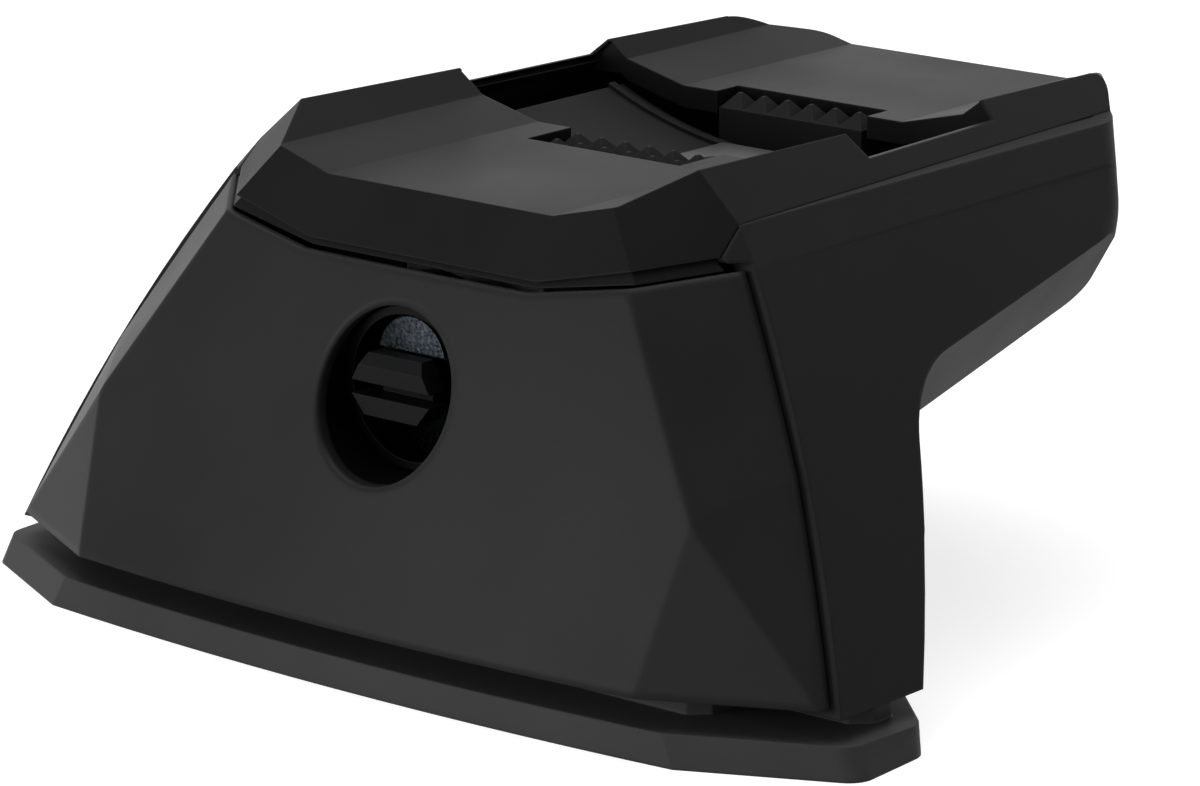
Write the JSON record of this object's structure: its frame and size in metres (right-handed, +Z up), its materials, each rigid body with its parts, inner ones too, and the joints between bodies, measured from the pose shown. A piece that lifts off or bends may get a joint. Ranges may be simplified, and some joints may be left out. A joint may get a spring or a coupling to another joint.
{
  "type": "roof bar foot",
  "caption": "Roof bar foot: a hollow leg on a rubber pad carries a troughed saddle with a toothed clamp for the bar, closed by a faceted front cover with a round lock.",
  "frame": {"origin": "midway between the two roof bolt holes, on the underside of the rubber pad", "axes": "+X to the right facing the front cover, +Y inboard along the bar, +Z up"},
  "size_m": [0.191, 0.1704, 0.0862],
  "materials": {
    "pad_rubber": "matt moulded rubber",
    "body_plastic": "fine-grained black moulding",
    "saddle_plastic": "smooth satin black moulding",
    "cover_plastic": "smooth satin black moulding",
    "cradle_black": "black coated casting",
    "zinc_steel": "zinc-plated steel",
    "nut_steel": "black coated steel",
    "lock_black": "black coated die casting",
    "lock_zinc": "bare speckled zinc die casting"
  },
  "bodies": {
    "leg": {"roof_pad": "pad_rubber", "bolt_sleeves": "zinc_steel", "load_plates": "zinc_steel", "leg_body": "body_plastic", "bar_saddle": "saddle_plastic", "saddle_screws": "zinc_steel", "clamp_cradle": "cradle_black", "cradle_screws": "zinc_steel", "lock_keeper": "zinc_steel", "keeper_screws": "zinc_steel"},
    "clamp": {"clamp_screw": "zinc_steel", "screw_washer": "zinc_steel", "retaining_ring": "zinc_steel"},
    "nut": {"tee_nut": "nut_steel"},
    "cover": {"front_cover": "cover_plastic", "lock_housing": "lock_black", "housing_screws": "zinc_steel"},
    "lock": {"lock_plug": "lock_zinc", "lock_grip": "lock_black", "lock_cam": "zinc_steel", "cam_screw": "zinc_steel"}
  },
  "joints": [
    {"name": "clamp_turn", "type": "hinge", "parent": "leg", "child": "clamp", "pos_m": [0, 0.078, 0.0498], "axis": [0, 0, -1], "range_deg": [0, 2882]},
    {"name": "nut_lift", "type": "slide", "parent": "leg", "child": "nut", "axis": [0, 0, 1], "range_m": [0, 0.01]},
    {"name": "cover_tilt", "type": "hinge", "parent": "leg", "child": "cover", "pos_m": [0, -0.009, 0.016], "axis": [1, 0, 0], "range_deg": [0, 14]},
    {"name": "lock_turn", "type": "hinge", "parent": "cover", "child": "lock", "pos_m": [0, 0, 0.04695], "axis": [0, -1, 0], "range_deg": [0, 90]}
  ],
  "couplings": [
    {"joint": "clamp_turn", "follows": "nut_lift", "rad_per_m": 5026.5}
  ]
}
